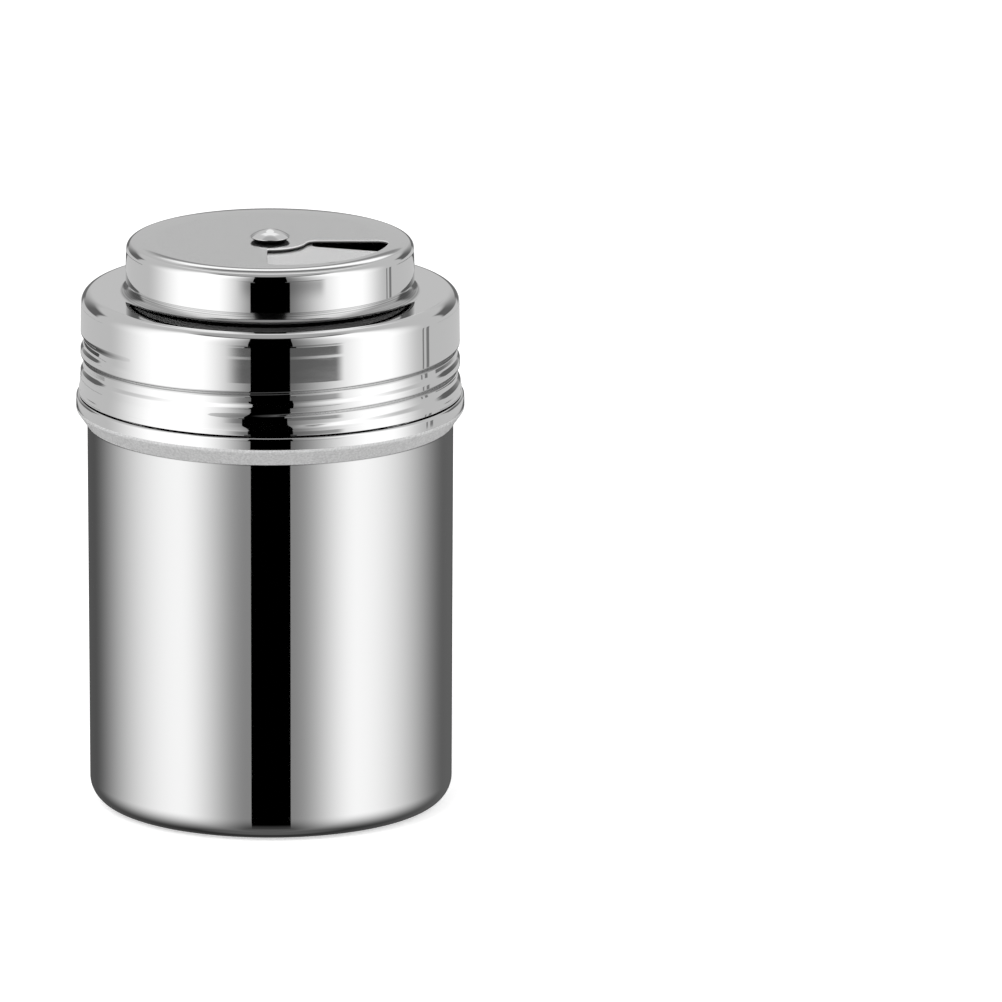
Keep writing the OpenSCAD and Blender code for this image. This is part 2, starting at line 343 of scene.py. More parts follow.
def join_flats(piece, heights):
    """Merges the flat rings that lie at the given heights into a few large faces."""
    clear_selection(piece)
    for face in piece.data.polygons:
        level = abs(face.normal.z) > 0.9999
        face.select = level and any(abs(face.center.z / MM - h) < 0.01 for h in heights)
    bpy.ops.object.mode_set(mode="EDIT")
    bpy.ops.mesh.select_mode(type="FACE")
    bpy.ops.mesh.dissolve_limited(angle_limit=math.radians(0.1))
    bpy.ops.mesh.select_mode(type="VERT")
    leave_edit()


def smooth_share(t):
    """A share that runs smoothly from 0 to 1."""
    t = min(1.0, max(0.0, t))
    return t * t * (3 - 2 * t)


def rolled(z, angle, start_z, start_angle, sweep, width, edge):
    """How deep, from 0 to 1, a rolled thread is at height z and at an angle."""
    depth = 0.0
    for whole_turn in range(-1, 4):
        run = angle + 360 * whole_turn - start_angle
        off = abs(z - start_z - PITCH * run / 360)
        fade = smooth_share(run / THREAD_FADE) * smooth_share((sweep - run) / THREAD_FADE)
        depth = max(depth, fade * (1 - smooth_share((off - width / 2 + edge) / edge)))
    return depth


def groove_depth(z, angle):
    """Depth of the lid's rolled groove in millimetres; its floor leans in a little."""
    share = rolled(z, angle, GROOVE_START_Z, GROOVE_START_ANGLE, GROOVE_SWEEP,
                   GROOVE_WIDTH, GROOVE_EDGE)
    run = (angle - GROOVE_START_ANGLE) / 360
    off = (z - GROOVE_START_Z - PITCH * run + PITCH / 2) % PITCH - PITCH / 2
    lean = GROOVE_LEAN * smooth_share(3 * share - 1)
    return share * GROOVE_DEPTH + lean * off / GROOVE_WIDTH


def press(piece, low, high, change):
    """Moves the outer wall's points between two heights in or out by change(z, angle)."""
    for v in piece.data.vertices:
        z = v.co.z / MM
        radius = math.hypot(v.co.x, v.co.y)
        if low < z < high and radius > PRESSED_R * MM:
            angle = math.degrees(math.atan2(v.co.y, v.co.x))
            scale = 1 + change(z, angle) * MM / radius
            v.co.x *= scale
            v.co.y *= scale


def punch(name, outline, low, high):
    """A cutter: a flat outline in the plate's plane, raised from one height to another."""
    bpy.ops.object.select_all(action="DESELECT")
    bpy.ops.mesh.primitive_circle_add(vertices=len(outline), radius=MM, fill_type="NGON")
    piece = active(name)
    for v, (x, y) in zip(piece.data.vertices, outline):
        v.co = (x * MM, y * MM, low * MM)
    edit(piece)
    bpy.ops.mesh.select_all(action="SELECT")
    rise = (0, 0, (high - low) * MM)
    bpy.ops.mesh.extrude_region_move(TRANSFORM_OT_translate={"value": rise})
    bpy.ops.mesh.select_all(action="SELECT")
    bpy.ops.mesh.normals_make_consistent(inside=False)
    leave_edit()
    return piece


def apply_modifier(piece, kind, **settings):
    """Adds a modifier to a piece and applies it."""
    bpy.ops.object.select_all(action="DESELECT")
    piece.select_set(True)
    bpy.context.view_layer.objects.active = piece
    modifier = piece.modifiers.new(kind.title(), kind)
    for key, value in settings.items():
        setattr(modifier, key, value)
    bpy.ops.object.modifier_apply(modifier=modifier.name)


def cut(piece, cutter):
    """Takes the cutter's shape out of a piece and throws the cutter away."""
    apply_modifier(piece, "BOOLEAN", operation="DIFFERENCE", object=cutter, solver="EXACT")
    bpy.data.objects.remove(cutter)


def finish_sheet(piece, edge_r):
    """Breaks the cut edges of a sheet and shades its curves smoothly."""
    apply_modifier(piece, "BEVEL", width=edge_r * MM, segments=3, limit_method="ANGLE",
                   angle_limit=math.radians(50), use_clamp_overlap=True)
    bpy.ops.object.shade_smooth_by_angle(angle=math.radians(30))
    apply_modifier(piece, "WEIGHTED_NORMAL", mode="FACE_AREA", weight=60, keep_sharp=True)


# ---------------------------------------------------------------- pieces

def make_can():
    """The drawn can: base, wall, stop bead, neck with its ridge and curled mouth."""
    foot_r = CAN_R - CAN_TAPER
    cone_top_z = CAN_WALL_H + BEAD_CONE_H
    wall = rounded([(foot_r, BASE_CORNER_R), (CAN_R + CAN_TAPER, CAN_WALL_H),
                    (BEAD_R, cone_top_z), (BEAD_R, cone_top_z + 1)], BEAD_EDGE_R)
    edge_z = BEAD_TOP_Z - BEAD_EDGE_R
    edge_x = BEAD_R - BEAD_LEAN - BEAD_EDGE_R
    low, high = thread_span(RIDGE_START_Z, RIDGE_SWEEP, RIDGE_WIDTH)
    below = (
        [(0, 0)]
        + arc(foot_r - BASE_CORNER_R, BASE_CORNER_R, BASE_CORNER_R, -90, 0, 4.5)
        + wall[1:-1]
        + arc(edge_x, edge_z, BEAD_EDGE_R, 0, 90)
        + [(NECK_R, BEAD_TOP_Z), (NECK_R, low)]
    )
    above = (
        [(NECK_R, high)]
        + arc(NECK_R - MOUTH_CURL_R, MOUTH_Z - MOUTH_CURL_R, MOUTH_CURL_R, 0, 200, 18)
    )
    middle = RIDGE_START_Z - PITCH * RIDGE_START_ANGLE / 360
    can = weld(join([
        turn("can", tidy_path(below), closed=False),
        threaded_wall("neck", lambda z: NECK_R, low, high, middle,
                      thread_rows(RIDGE_WIDTH, RIDGE_EDGE)),
        turn("mouth", tidy_path(above), closed=False),
    ]))
    thicken(can)
    press(can, low, high, lambda z, angle: RIDGE_HEIGHT * rolled(
        z, angle, RIDGE_START_Z, RIDGE_START_ANGLE, RIDGE_SWEEP, RIDGE_WIDTH, RIDGE_EDGE))
    finish_sheet(can, CAN_EDGE_R)
    return can


def thread_span(start_z, sweep, width):
    """The heights between which a rolled thread runs, with a little room."""
    room = width / 2 + 0.05
    return start_z - room, start_z + PITCH * sweep / 360 + room


def skirt_r(z):
    """Radius of the lid's skirt at height z, without its groove: a hem that flares, with a
    rolled edge, and a wall that draws in a little, most of all in two belts above the groove."""
    flare = HEM_FLARE * (1 - smooth_share((z - HEM_Z) / HEM_FLARE_H))
    above_roll = z - HEM_Z - HEM_ROLL_H
    roll = HEM_ROLL_OUT * (1 - smooth_share(above_roll / 0.12))
    belts = min(max(0.0, z - BELT_LOW_Z), BELT_HIGH_Z - BELT_LOW_Z) + max(0.0, z - TOP_BELT_Z)
    return LID_R + flare + roll - SKIRT_DRAFT * (z - HEM_Z) / 16 - BELT_DRAFT * belts


def skirt_path(low, high, step):
    """The skirt's outer face between two heights."""
    return [(skirt_r(z), z) for _, z in line((0, low), (0, high), step)] + [(skirt_r(high), high)]


def slot_outline():
    """The pour slot: a ring sector with rounded corners."""
    a, b, c = SLOT_START, SLOT_START + SLOT_SWEEP, SLOT_CORNER_R
    far, near = SLOT_OUTER_R - c, SLOT_INNER_R + c
    far_turn = math.degrees(math.asin(c / far))
    near_turn = math.degrees(math.asin(c / near))

    def corner(radius, angle, start, end):
        turned = math.radians(angle)
        return arc(radius * math.cos(turned), radius * math.sin(turned), c, start, end, 15)

    outline = (
        corner(far, a + far_turn, a - 90, a + far_turn)
        + arc(0, 0, SLOT_OUTER_R, a + far_turn, b - far_turn, 4)[1:-1]
        + corner(far, b - far_turn, b - far_turn, b + 90)
        + corner(near, b - near_turn, b + 90, b + 180 - near_turn)
        + arc(0, 0, SLOT_INNER_R, b - near_turn, a + near_turn, 6)[1:-1]
        + corner(near, a + near_turn, a + near_turn - 180, a - 90)
    )
    return outline


def ring_holes(rings, middle, radius):
    """The outlines of the holes of one zone of the shaker plate."""
    outlines = []
    for ring_radius, count in rings:
        for i in range(count):
            step = (ZONE - 2 * ZONE_MARGIN) / (count - 1)
            angle = math.radians(middle - ZONE / 2 + ZONE_MARGIN + step * i)
            x, y = ring_radius * math.cos(angle), ring_radius * math.sin(angle)
            outlines.append(arc(x, y, radius, 0, 360, 15)[:-1])
    return outlines


def make_lid():
    """The pressed lid: hem, skirt with its groove, shoulder, ring, hub and plate."""
    low, high = thread_span(GROOVE_START_Z, GROOVE_SWEEP, GROOVE_WIDTH)
    shoulder_z = RING_Z - LID_SHOULDER_R
    top = (
        skirt_path(high, shoulder_z, 0.25)
        + arc(skirt_r(shoulder_z) - LID_SHOULDER_R, shoulder_z, LID_SHOULDER_R, 0, 90, 5)
        + arc(HUB_R + HUB_FILLET_R, RING_Z + HUB_FILLET_R, HUB_FILLET_R, 270, 180, 6)
        + arc(HUB_R - HUB_EDGE_R, PLATE_Z - HUB_EDGE_R, HUB_EDGE_R, 0, 90)
        + [(SHANK_HOLE_R, PLATE_Z)]
    )
    middle = GROOVE_START_Z - PITCH * GROOVE_START_ANGLE / 360
    lid = weld(join([
        turn("lid", skirt_path(HEM_Z, low, 0.04), closed=False),
        threaded_wall("skirt", skirt_r, low, high, middle, thread_rows(GROOVE_WIDTH, GROOVE_EDGE)),
        turn("top", tidy_path(top), closed=False),
    ]))
    thicken(lid)
    press(lid, low, high, lambda z, angle: -groove_depth(z, angle))
    join_flats(lid, (PLATE_Z, PLATE_Z - SHEET))
    low, high = PLATE_Z - 2 * SHEET, PLATE_Z + SHEET
    middle = SLOT_START + ZONE / 2
    cutters = [punch("slot_punch", slot_outline(), low, high)]
    holes = (ring_holes(FINE_RINGS, middle + ZONE, FINE_HOLE_R)
             + ring_holes(COARSE_RINGS, middle + 2 * ZONE, COARSE_HOLE_R))
    cutters += [punch(f"hole_punch_{i}", outline, low, high) for i, outline in enumerate(holes)]
    cut(lid, join(cutters))
    finish_sheet(lid, LID_EDGE_R)
    return lid


def join(parts):
    """One object out of several that don't touch."""
    bpy.ops.object.select_all(action="DESELECT")
    for part in parts:
        part.select_set(True)
    bpy.context.view_layer.objects.active = parts[0]
    bpy.ops.object.join()
    return parts[0]


def window_outline():
    """The dial's window: a quarter with straight edges to the left and behind, a hollow
    edge around the rivet and a round edge outside."""
    c, s, shift = WINDOW_CORNER_R, WINDOW_SHARP_R, WINDOW_SHIFT
    y = WINDOW_FAR_Y - c
    right = (shift + math.sqrt((WINDOW_OUTER_R - c) ** 2 - y * y), y)
    inner = (math.sqrt((WINDOW_INNER_R + c) ** 2 - y * y), y)
    x = s - WINDOW_LEFT_X
    sharp = (x, -math.sqrt((WINDOW_INNER_R + s) ** 2 - x * x))
    x = c - WINDOW_LEFT_X
    left = (x, -math.sqrt((WINDOW_OUTER_R - c) ** 2 - (x - shift) ** 2))

    def angle_of(x, y):
        return math.degrees(math.atan2(y, x))

    right_turn = angle_of(right[0] - shift, right[1])
    left_turn = angle_of(left[0] - shift, left[1])
    inner_turn, sharp_turn = angle_of(*inner), angle_of(*sharp)
    return (
        arc(*left, c, -180, left_turn, 12)
        + arc(shift, 0, WINDOW_OUTER_R, left_turn, right_turn, 4)[1:-1]
        + arc(*right, c, right_turn, 90, 12)
        + arc(*inner, c, 90, 180 + inner_turn, 12)
        + arc(0, 0, WINDOW_INNER_R, inner_turn, sharp_turn, 6)[1:-1]
        + arc(*sharp, s, 180 + sharp_turn, 180, 20)
    )


def make_dial():
    """The pressed dial with its window."""
    shoulder_x = DIAL_R - DIAL_DRAFT - DIAL_BARREL - DIAL_SHOULDER_R
    crown_z = DIAL_TOP_Z - DIAL_CROWN_R
    reach = DIAL_CROWN_R - DIAL_SHOULDER_R
    crown_turn = math.degrees(math.asin((shoulder_x - DIAL_FLAT_R) / reach))
    shoulder_z = crown_z + reach * math.cos(math.radians(crown_turn))
    wall = []
    for share in (*(i / 8 for i in range(8)), 0.94, 0.98):
        drawn_in = DIAL_DRAFT * share + DIAL_BARREL * share ** 2
        wall.append((DIAL_R - drawn_in, DIAL_FOOT_Z + (shoulder_z - DIAL_FOOT_Z) * share))
    path = (
        wall
        + arc(shoulder_x, shoulder_z, DIAL_SHOULDER_R, 0, 90 - crown_turn, 5)
        + arc(DIAL_FLAT_R, crown_z, DIAL_CROWN_R, 90 - crown_turn, 90, 0.4)[1:]
        + [(SHANK_HOLE_R, DIAL_TOP_Z)]
    )
    dial = turn("dial", sheet_outline(path))
    join_flats(dial, (DIAL_TOP_Z, DIAL_TOP_Z - SHEET))
    cut(dial, punch("window_punch", window_outline(), DIAL_TOP_Z - 2 * SHEET, DIAL_TOP_Z + SHEET))
    finish_sheet(dial, DIAL_EDGE_R)
    return dial


def make_rivet():
    """The rivet: domed head with a small raised middle, seat, shank and peened tail."""
    rim_z = HEAD_TOP_Z - HEAD_DOME_H
    dome_h = HEAD_DOME_H - HEAD_NUB_H
    dome_r = (HEAD_R ** 2 + dome_h ** 2) / (2 * dome_h)
    dome_turn = math.degrees(math.asin(HEAD_R / dome_r))
    dome = arc(0, rim_z + dome_h - dome_r, dome_r, 90 - dome_turn + 1, 90, 1.5)
    head = [(x, z + HEAD_NUB_H * (1 - smooth_share(x / HEAD_NUB_R))) for x, z in dome]
    tail_top = TAIL_Z + TAIL_H
    outline = (
        [(0, TAIL_Z)]
        + arc(TAIL_R - 0.6, tail_top - 0.5, 0.6, -90, 0)
        + [(TAIL_R, tail_top), (SHANK_R, tail_top), (SHANK_R, DIAL_TOP_Z + 0.05)]
        + rounded([(HEAD_SEAT_R, DIAL_TOP_Z + 0.05), (HEAD_R - 0.5, DIAL_TOP_Z + 0.15),
                   (HEAD_R - 0.06, rim_z - 0.1)], 1.2)
        + arc(HEAD_R - 0.1, rim_z - 0.04, 0.1, -50, 30, 20)
        + head
    )
    rivet = turn("rivet_polished", tidy_path(outline))
    finish_sheet(rivet, RIVET_EDGE_R)
    return rivet


# ---------------------------------------------------------------- node helpers

def wire(tree, kind, inputs=(), **settings):
    """A shader node with its settings and its inputs, given by name or by number."""
    node = tree.nodes.new(kind)
    for key, value in settings.items():
        setattr(node, key, value)
    for key, value in dict(inputs).items():
        socket = node.inputs[key]
        if isinstance(value, bpy.types.NodeSocket):
            tree.links.new(value, socket)
        else:
            socket.default_value = value
    return node


def calc(tree, operation, *values):
    """One step of arithmetic; values are numbers or sockets."""
    return wire(tree, "ShaderNodeMath", enumerate(values), operation=operation).outputs[0]


def ramp(tree, value, start, end, low=0.0, high=1.0):
    """Runs smoothly from low to high while value goes from start to end."""
    inputs = {"Value": value, "From Min": start, "From Max": end, "To Min": low, "To Max": high}
    return wire(tree, "ShaderNodeMapRange", inputs, interpolation_type="SMOOTHSTEP").outputs[0]


def blend(tree, share, a, b):
    """a where share is 0 and b where it is 1."""
    return wire(tree, "ShaderNodeMix", {0: share, 2: a, 3: b}, data_type="FLOAT").outputs[0]


def both(tree, *shares):
    """The product of several shares."""
    product = shares[0]
    for share in shares[1:]:
        product = calc(tree, "MULTIPLY", product, share)
    return product


def band(tree, value, low, high, edge):
    """1 between low and high, 0 outside, with soft edges."""
    return both(tree, ramp(tree, value, low - edge, low + edge),
                ramp(tree, value, high - edge, high + edge, 1.0, 0.0))


# ---------------------------------------------------------------- materials

def new_material(name, slot_colour, metallic=1.0):
    """A material with one principled shader, and its tree and shader."""
    material = bpy.data.materials.new(name)
    material.use_nodes = True
    tree = material.node_tree
    tree.nodes.clear()
    shader = wire(tree, "ShaderNodeBsdfPrincipled",
                  {"Base Color": (*slot_colour, 1), "Metallic": metallic})
    output = wire(tree, "ShaderNodeOutputMaterial")
    tree.links.new(shader.outputs[0], output.inputs[0])
    return material, tree, shader


def place(tree, scale=(1, 1, 1)):
    """The piece's own coordinates, in metres, stretched by a scale."""
    coords = wire(tree, "ShaderNodeTexCoord").outputs["Object"]
    return wire(tree, "ShaderNodeMapping", {"Vector": coords, "Scale": scale}).outputs[0]


def noise(tree, vector, scale, detail=3.0):
    return wire(tree, "ShaderNodeTexNoise",
                {"Vector": vector, "Scale": scale, "Detail": detail}).outputs["Fac"]


def grey_colour(tree, tone):
    return wire(tree, "ShaderNodeCombineColor", {0: tone, 1: tone, 2: tone}).outputs[0]


def heights(tree, coords):
    """The distance from the axis and the height of a point, in metres."""
    axes = wire(tree, "ShaderNodeSeparateXYZ", {0: coords}).outputs
    across = wire(tree, "ShaderNodeCombineXYZ", {0: axes[0], 1: axes[1]}).outputs[0]
    radius = wire(tree, "ShaderNodeVectorMath", {0: across}, operation="LENGTH").outputs["Value"]
    return radius, axes[2]


def polished_steel(name, colour, frosted=None, turned=None, satin=None, painted_underside_shade_z=None):
    """Mirror-polished sheet with a faint buffing haze. Where frosted gives two heights, a
    grainy matte band lies between them; where turned does, a duller band with fine rings.
    Above the height satin, faces are bright satin. Above the height given last, faces that look
    down are rough and painted near-black, a painted shade for the shadow gap under a rivet's head."""
    material, tree, shader = new_material(name, colour)
    coords = place(tree)
    haze = noise(tree, place(tree, (1, 1, 6)), 60.0, 4.0)
    gloss = ramp(tree, haze, 0.35, 0.75, 0.015, 0.035)
    height = calc(tree, "MULTIPLY", noise(tree, coords, 2200.0, 2.0), 0.00000006)
    radius, z = heights(tree, coords)
    if frosted:
        matte = band(tree, z, frosted[0] * MM, frosted[1] * MM, 0.00004)
        grain = noise(tree, coords, 2600.0, 5.0)
        gloss = blend(tree, matte, gloss, ramp(tree, grain, 0.3, 0.7, 0.5, 0.68))
        tree.links.new(blend(tree, matte, 1.0, 0.25), shader.inputs["Metallic"])
        tone = blend(tree, matte, colour[0], ramp(tree, grain, 0.25, 0.75, 0.6, 0.8))
        tree.links.new(grey_colour(tree, tone), shader.inputs["Base Color"])
        height = calc(tree, "ADD", height, both(tree, matte, grain, 0.00002))
    if turned:
        dull = band(tree, z, turned[0] * MM, turned[1] * MM, 0.00003)
        lathe = wire(tree, "ShaderNodeCombineXYZ", {0: radius, 2: z}).outputs[0]
        rings = noise(tree, lathe, 5200.0, 3.0)
        gloss = blend(tree, dull, gloss, 0.1)
        tone = blend(tree, dull, colour[0], ramp(tree, rings, 0.3, 0.7, 0.4, 0.66))
        height = calc(tree, "ADD", height, both(tree, dull, rings, 0.000006))
        if satin:
            soft = calc(tree, "GREATER_THAN", z, satin * MM)
            gloss = blend(tree, soft, gloss, 0.24)
            tone = blend(tree, soft, tone, 0.97)
        tree.links.new(grey_colour(tree, tone), shader.inputs["Base Color"])
    # Painted shade: above this height, faces that look down get a near-black colour and a rough
    # finish, standing in for the shadow under the rivet's head.
    if painted_underside_shade_z:
        facing = wire(tree, "ShaderNodeNewGeometry").outputs["True Normal"]
        up = wire(tree, "ShaderNodeSeparateXYZ", {0: facing}).outputs[2]
        painted_underside_shade = both(tree, ramp(tree, up, -0.35, -0.2, 1.0, 0.0),
                     calc(tree, "GREATER_THAN", z, painted_underside_shade_z * MM))
        gloss = blend(tree, painted_underside_shade, gloss, 0.5)
        tree.links.new(grey_colour(tree, blend(tree, painted_underside_shade, colour[0], 0.06)),
                       shader.inputs["Base Color"])
    tree.links.new(gloss, shader.inputs["Roughness"])
    bump = wire(tree, "ShaderNodeBump", {"Height": height, "Distance": 1.0, "Strength": 1.0})
    tree.links.new(bump.outputs[0], shader.inputs["Normal"])
    return material


def grained_steel(name, colour):
    """Polished walls and crown around a finely grained flat top. The window's punched edges are
    rough and non-metallic with a painted highlight, near-white above; their lower part and the
    window's left edge carry a painted shadow of the gap under the sheet, near-black. The foot,
    which looks down, is rough and carries painted shade, dark grey."""
    material, tree, shader = new_material(name, colour)
    coords = place(tree)
    grain = noise(tree, coords, 3200.0, 4.0)
    facing = wire(tree, "ShaderNodeNewGeometry").outputs["True Normal"]
    axes = wire(tree, "ShaderNodeSeparateXYZ", {0: facing}).outputs
    up = axes[2]
    radius, z = heights(tree, coords)
    inside = ramp(tree, radius, 19.8 * MM, 20.8 * MM, 1.0, 0.0)
    flat = both(tree, ramp(tree, up, 0.985, 0.9995), inside)
    # Cut faces and their rolled lips: rough and non-metallic, painted near-white as a painted
    # highlight.
    painted_cut_edge = both(tree, band(tree, up, -0.9, 0.93, 0.03),
                   ramp(tree, radius, 23 * MM, 23.5 * MM, 1.0, 0.0))
    # Painted shadow: the lower part of each cut face is painted near-black for the shaded gap
    # beneath the sheet.
    painted_gap_shadow = ramp(tree, z, (DIAL_TOP_Z - 0.3) * MM, (DIAL_TOP_Z - 0.24) * MM, 1.0, 0.0)
    # The foot that looks down is rough and gets a painted shade, dark grey, for the shade under the
    # dial.
    painted_foot_shade = calc(tree, "LESS_THAN", up, -0.5)
    gloss = blend(tree, flat, 0.02, ramp(tree, grain, 0.3, 0.7, 0.1, 0.15))
    gloss = blend(tree, calc(tree, "MAXIMUM", painted_cut_edge, painted_foot_shade), gloss, 0.6)
    tree.links.new(gloss, shader.inputs["Roughness"])
    # Painted shadow: the window's left cut edge is painted near-black over its whole height.
    left_edge_shadow = both(tree, ramp(tree, axes[0], 0.3, 0.5), ramp(tree, axes[1], -0.12, -0.06))
    painted_gap_shadow = calc(tree, "MAXIMUM", painted_gap_shadow, left_edge_shadow)
    top = ramp(tree, up, 0.96, 0.99)
    tone = blend(tree, top, colour[0], ramp(tree, grain, 0.3, 0.7, 0.7, 0.74))
    # Painted highlight and shadow on the cut edges: white above, near-black in the shaded gap and
    # on the left edge.
    tone = blend(tree, painted_cut_edge, tone, blend(tree, painted_gap_shadow, 1.0, 0.1))
    # Painted shade: the downward foot is painted dark grey.
    tone = blend(tree, painted_foot_shade, tone, 0.35)
    tree.links.new(grey_colour(tree, tone), shader.inputs["Base Color"])
    tree.links.new(blend(tree, painted_cut_edge, 1.0, 0.0), shader.inputs["Metallic"])
    height = both(tree, flat, grain, 0.0000015)
    bump = wire(tree, "ShaderNodeBump", {"Height": height, "Distance": 1.0, "Strength": 1.0})
    tree.links.new(bump.outputs[0], shader.inputs["Normal"])
    return material


def spring_steel(name, colour):
    """Plain stamped strip with a faint rolling grain."""
    material, tree, shader = new_material(name, colour)
    grain = noise(tree, place(tree, (1, 12, 1)), 700.0, 3.0)
    tree.links.new(ramp(tree, grain, 0.3, 0.7, 0.28, 0.45), shader.inputs["Roughness"])
    return material


def paint(piece, material):
    """Gives a piece one material."""
    piece.data.materials.clear()
    piece.data.materials.append(material)


# ---------------------------------------------------------------- the object

can = make_can()
lid = make_lid()
dial = make_dial()
rivet = make_rivet()

mirror = (0.80, 0.80, 0.80)
paint(can, polished_steel("polished_can_steel", mirror, frosted=(CAN_WALL_H + 0.1, FROST_TOP_Z)))
paint(lid, polished_steel("polished_lid_steel", mirror, turned=(RING_Z + 0.06, RING_Z + 4),
                          satin=PLATE_Z - 0.01))
paint(dial, grained_steel("grained_dial_steel", mirror))
# The rivet's underside above the dial's top is painted near-black: a painted shadow under its head.
paint(rivet, polished_steel("polished_rivet_steel", (0.88, 0.88, 0.87), painted_underside_shade_z=DIAL_TOP_Z))
washer_steel = spring_steel("stamped_spring_steel", (0.55, 0.55, 0.56))
for washer in ("spring_washer", "tail_washer"):
    paint(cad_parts[washer], washer_steel)

for piece, body, node, slot in (
    (can, "can", "can_body", "mirror_steel"),
    (lid, "lid", "lid_cap", "mirror_steel"),
    (dial, "dial", "turning_dial", "dial_steel"),
    (rivet, "rivet_stack", "rivet", "rivet_steel"),
):
    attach(piece, body)
    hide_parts(node)


# ---------------------------------------------------------------- floor and light

def make_floor():
    """A pale floor that keeps the shadow and lets reflections see the studio."""
    bpy.ops.object.select_all(action="DESELECT")
    bpy.ops.mesh.primitive_plane_add(size=6, location=(0, 0, -0.00005))
    floor = active("floor")
    material = bpy.data.materials.new("pale_floor")
    material.use_nodes = True
    tree = material.node_tree
    tree.nodes.clear()
    diffuse = wire(tree, "ShaderNodeBsdfDiffuse", {"Color": (0.9, 0.9, 0.9, 1)}).outputs[0]
    glow = wire(tree, "ShaderNodeEmission", {"Strength": FLOOR_GLOW}).outputs[0]
    lit = wire(tree, "ShaderNodeAddShader", {0: diffuse, 1: glow}).outputs[0]
    path = wire(tree, "ShaderNodeLightPath").outputs
    seen = wire(tree, "ShaderNodeMixShader",
                {0: path["Is Camera Ray"], 1: diffuse, 2: lit}).outputs[0]
    clear = wire(tree, "ShaderNodeBsdfTransparent").outputs[0]
    through = calc(tree, "MAXIMUM", path["Is Glossy Ray"], path["Is Transmission Ray"])
    mixed = wire(tree, "ShaderNodeMixShader", {0: through, 1: seen, 2: clear}).outputs[0]
    output = wire(tree, "ShaderNodeOutputMaterial")
    tree.links.new(mixed, output.inputs[0])
    paint(floor, material)


